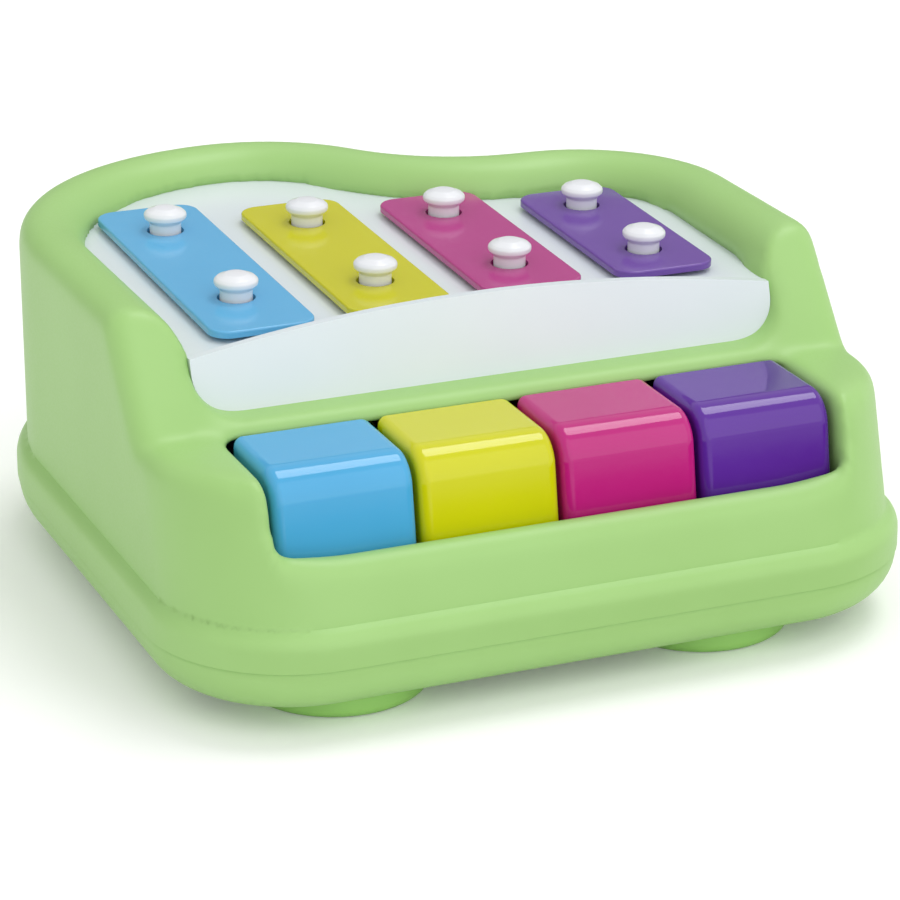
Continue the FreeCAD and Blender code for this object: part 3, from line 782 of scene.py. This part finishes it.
def cross_screws(node_name, lean, tree):
    """Screws of one node, driven from below."""
    boxes = solid_boxes(node_name)
    places = []
    for low, high in boxes:
        middle = (low + high) / 2
        places.append((middle.x, middle.y, low.z + SCREW_HEAD_HEIGHT))
    length = boxes[0][1].z - boxes[0][0].z
    piece = grow(node_name + "_skin", tree, places, {
        "Head Radius": SCREW_HEAD_RADIUS,
        "Head Low": -SCREW_HEAD_HEIGHT,
        "Seat": 0.0,
        "Shank Radius": SCREW_SHANK_RADIUS,
        "Shank Top": length - SCREW_HEAD_HEIGHT,
        "Rounding": SCREW_ROUNDING,
        "Recess Length": RECESS_LENGTH,
        "Recess Width": RECESS_WIDTH,
        "Recess Depth": RECESS_DEPTH,
        "Lean": lean,
        "Finish": screw_steel})
    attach(piece, HOUSING)
    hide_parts(node_name)


# All pieces of the toy

upper_housing()
lower_housing()
dress("deck_panel", HOUSING, panel_white)
for name in FEET:
    dress(name, HOUSING, foot_green_painted_bounce)
for colour in KEY_COLOURS:
    dress("key_" + colour, "rocking_key_" + colour, key_plastic[colour])
    dress("tone_bar_" + colour, "loose_bar_" + colour, bar_paint[colour])
    finish_node("hammer_tip_" + colour, tip_black)
    leaf_spring(colour)
mushroom_pegs()
screws = screw_tree()
cross_screws("housing_screws", lean=0.0, tree=screws)
cross_screws("deck_screws", lean=DECK_TILT, tree=screws)
finish_node("pivot_rod", rod_steel)
for name in FELT_STRIPS:
    finish_node(name, strip_felt)
finish_node("bar_cushions", cushion_grey)


# Stage: white floor, soft studio light and the photograph's viewing angle

def stage_sheet(name, corners, colour, glow):
    """Flat sheet of matte paper that belongs to the studio, a little lighter to the eye by its glow."""
    mesh = bpy.data.meshes.new(name)
    mesh.from_pydata(corners, [], [(0, 1, 2, 3)])
    sheet = put_in_scene(name, mesh)
    material, tree = blank_material(name + "_paper")
    shader = add(tree, "ShaderNodeBsdfPrincipled", {
        "Base Color": linear(colour), "Roughness": 1.0, "Specular IOR Level": 0.0,
        "Emission Color": WHITE})
    paths = add(tree, "ShaderNodeLightPath").outputs
    lift = add(tree, "ShaderNodeMath", {"operation": "MULTIPLY", 1: glow}, {0: paths["Is Camera Ray"]})
    tree.links.new(lift.outputs[0], shader.inputs["Emission Strength"])
    add(tree, "ShaderNodeOutputMaterial", None, {"Surface": shader.outputs["BSDF"]})
    mesh.materials.append(material)
    return sheet


def level_corners(left, right, front, rear, height):
    """Corners of a level rectangle."""
    return [(left, front, height), (right, front, height), (right, rear, height), (left, rear, height)]


def upright_corners(left, right, low, high, depth):
    """Corners of an upright rectangle that faces the front."""
    return [(left, depth, low), (right, depth, low), (right, depth, high), (left, depth, high)]


def reflected_only(sheet):
    """Lets a sheet show in glossy surfaces alone."""
    sheet.visible_camera = False
    sheet.visible_diffuse = False
    sheet.visible_shadow = False


def wide_sun(name, toward, strength, angle_deg):
    """Broad even light from one side, the same all over the floor."""
    lamp = bpy.data.lights.new(name, "SUN")
    lamp.energy = strength
    lamp.angle = math.radians(angle_deg)
    holder = put_in_scene(name, lamp)
    holder.rotation_euler = Vector(toward).to_track_quat("Z", "Y").to_euler()


def studio_world(fill):
    """White surroundings for the eye and for reflections, and a softer fill on the object."""
    world = bpy.data.worlds.new("white_studio")
    world.use_nodes = True
    tree = world.node_tree
    tree.nodes.clear()
    paths = add(tree, "ShaderNodeLightPath").outputs
    bright = add(tree, "ShaderNodeMath", {"operation": "MAXIMUM"}, {
        0: paths["Is Camera Ray"], 1: paths["Is Glossy Ray"]})
    white = add(tree, "ShaderNodeMath", {"operation": "MAXIMUM"}, {
        0: bright.outputs[0], 1: paths["Is Transmission Ray"]})
    level = add(tree, "ShaderNodeMapRange", {"To Min": fill, "To Max": 1.0}, {"Value": white.outputs[0]})
    glow = add(tree, "ShaderNodeBackground", {"Color": WHITE}, {"Strength": level.outputs["Result"]})
    add(tree, "ShaderNodeOutputWorld", None, {"Surface": glow.outputs["Background"]})
    bpy.context.scene.world = world


FULL_FRAME_MM = 36.0


def photo_camera(azimuth_deg, elevation_deg, distance, aim, lens_mm):
    """Camera that looks at a point from one side, as the photograph does."""
    azimuth = math.radians(azimuth_deg)
    elevation = math.radians(elevation_deg)
    back = Vector((
        math.sin(azimuth) * math.cos(elevation),
        -math.cos(azimuth) * math.cos(elevation),
        math.sin(elevation)))
    lens = bpy.data.cameras.new("photo_camera")
    lens.lens = lens_mm
    lens.sensor_width = FULL_FRAME_MM
    holder = put_in_scene("photo_camera", lens)
    holder.location = Vector(aim) + back * distance
    holder.rotation_euler = back.to_track_quat("Z", "Y").to_euler()
    bpy.context.scene.camera = holder


FLOOR_HALF = 6.0

floor = level_corners(left=-FLOOR_HALF, right=FLOOR_HALF, front=-FLOOR_HALF, rear=FLOOR_HALF, height=0)
stage_sheet("floor", floor, "#FAFAFA", glow=0.1)
# Two grey cards that only reflections show: behind the toy and on the floor before it
behind = upright_corners(left=-2, right=2, low=0.02, high=0.95, depth=1.2)
reflected_only(stage_sheet("reflection_card", behind, "#9A9A9A", glow=0.0))
before = level_corners(left=-0.5, right=0.8, front=-0.8, rear=-0.13, height=0.001)
reflected_only(stage_sheet("floor_card", before, "#404040", glow=0.0))
studio_world(fill=0.72)
wide_sun("high_softbox", toward=(0.35, 0.15, 0.92), strength=0.75, angle_deg=26)
wide_sun("front_fill", toward=(0.1, -0.8, 0.6), strength=0.8, angle_deg=70)
photo_camera(azimuth_deg=-22.733, elevation_deg=20.913, distance=0.9435,
             aim=(-0.03145, -0.09437, 0.068), lens_mm=144.0)
bpy.context.scene.view_settings.view_transform = "Standard"
